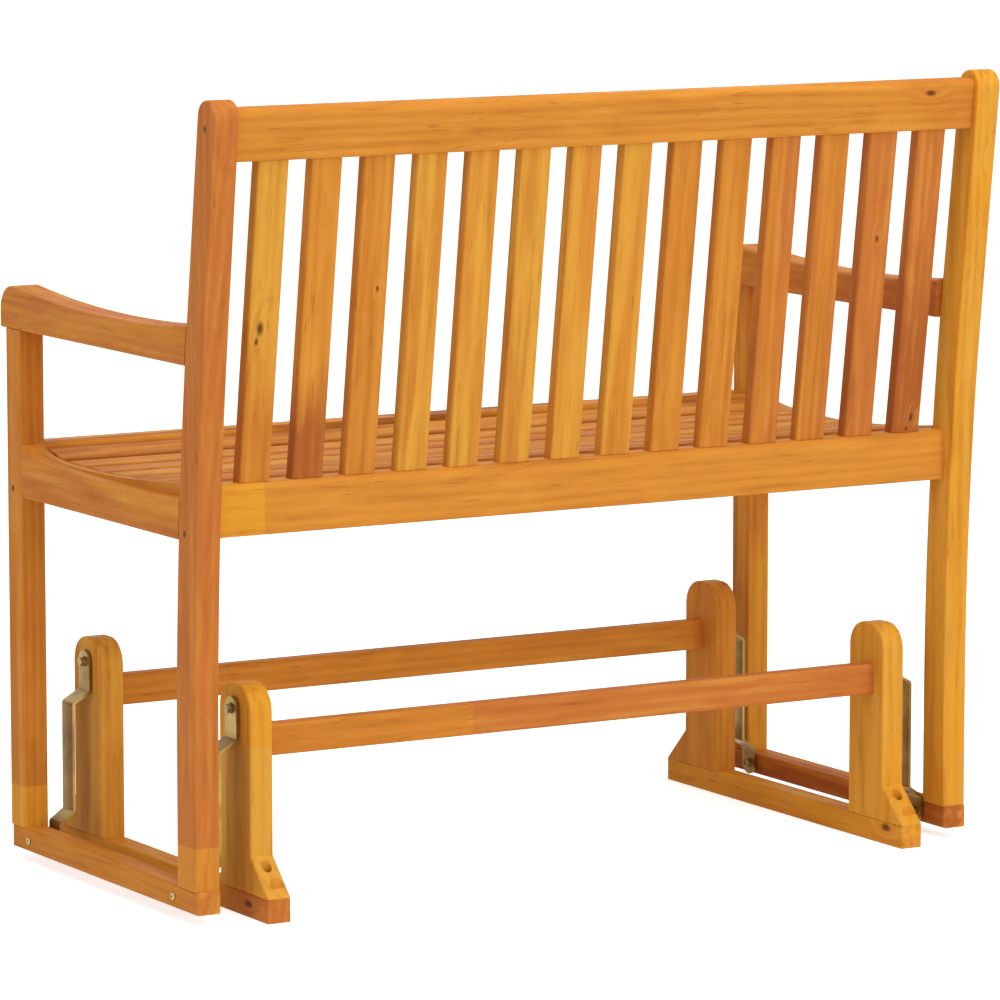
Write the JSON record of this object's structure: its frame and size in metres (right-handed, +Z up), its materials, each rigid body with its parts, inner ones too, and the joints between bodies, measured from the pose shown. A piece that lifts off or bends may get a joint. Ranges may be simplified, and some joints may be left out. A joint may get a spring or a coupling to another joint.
{
  "type": "glider bench",
  "caption": "Slatted wooden two-seat glider bench with arms, hung on bent steel links from a low base of flared uprights joined by stretchers.",
  "frame": {"origin": "on the floor, under the middle of the whole bench at rest", "axes": "+X along the bench towards the sitter's left, +Y towards the back, +Z up; the sitter faces -Y"},
  "size_m": [1.105, 0.5928, 0.979],
  "materials": {
    "acacia": "oiled, satin",
    "zinc_steel": "yellow zinc plated, dull"
  },
  "bodies": {
    "base": {"base_foot_screws": "zinc_steel", "base_rail_left": "acacia", "base_rail_right": "acacia", "base_stretcher_back": "acacia", "base_stretcher_front": "acacia", "upper_pivot_bolts": "zinc_steel", "upper_pivot_washers": "zinc_steel", "upright_back_left": "acacia", "upright_back_right": "acacia", "upright_front_left": "acacia", "upright_front_right": "acacia"},
    "bench": {"armrest_left": "acacia", "armrest_right": "acacia", "back_post_left": "acacia", "back_post_right": "acacia", "back_slat_01": "acacia", "back_slat_02": "acacia", "back_slat_03": "acacia", "back_slat_04": "acacia", "back_slat_05": "acacia", "back_slat_06": "acacia", "back_slat_07": "acacia", "back_slat_08": "acacia", "back_slat_09": "acacia", "back_slat_10": "acacia", "back_slat_11": "acacia", "back_slat_12": "acacia", "back_slat_13": "acacia", "back_slat_14": "acacia", "bottom_rail_left": "acacia", "bottom_rail_right": "acacia", "frame_screws": "zinc_steel", "front_leg_left": "acacia", "front_leg_right": "acacia", "front_seat_rail": "acacia", "lower_pivot_bolts": "zinc_steel", "lower_pivot_nuts": "zinc_steel", "lower_pivot_washers": "zinc_steel", "rear_seat_rail": "acacia", "seat_bearer": "acacia", "seat_side_rail_left": "acacia", "seat_side_rail_right": "acacia", "seat_slat_1": "acacia", "seat_slat_2": "acacia", "seat_slat_3": "acacia", "seat_slat_4": "acacia", "seat_slat_5": "acacia", "seat_slat_6": "acacia", "seat_slat_7": "acacia", "seat_slat_8": "acacia", "seat_slat_screws": "zinc_steel", "top_back_rail": "acacia"},
    "back_left_link": {"link_back_left": "zinc_steel"},
    "back_right_link": {"link_back_right": "zinc_steel"},
    "front_left_link": {"link_front_left": "zinc_steel"},
    "front_right_link": {"link_front_right": "zinc_steel"}
  },
  "joints": [
    {"name": "glide", "type": "hinge", "parent": "base", "child": "back_left_link", "pos_m": [0.47055, 0.17831, 0.24775], "axis": [1, 0, 0], "range_deg": [-20, 20]},
    {"name": "bench_level", "type": "hinge", "parent": "back_left_link", "child": "bench", "pos_m": [0.51345, 0.17831, 0.0281], "axis": [1, 0, 0], "range_deg": [-20, 20]},
    {"name": "back_right_swing", "type": "hinge", "parent": "base", "child": "back_right_link", "pos_m": [-0.47055, 0.17831, 0.24775], "axis": [1, 0, 0], "range_deg": [-20, 20]},
    {"name": "front_left_swing", "type": "hinge", "parent": "base", "child": "front_left_link", "pos_m": [0.47055, -0.21339, 0.24775], "axis": [1, 0, 0], "range_deg": [-20, 20]},
    {"name": "front_right_swing", "type": "hinge", "parent": "base", "child": "front_right_link", "pos_m": [-0.47055, -0.21339, 0.24775], "axis": [1, 0, 0], "range_deg": [-20, 20]}
  ],
  "couplings": [
    {"joint": "bench_level", "follows": "glide", "ratio": -1},
    {"joint": "back_right_swing", "follows": "glide", "ratio": 1},
    {"joint": "front_left_swing", "follows": "glide", "ratio": 1},
    {"joint": "front_right_swing", "follows": "glide", "ratio": 1}
  ]
}
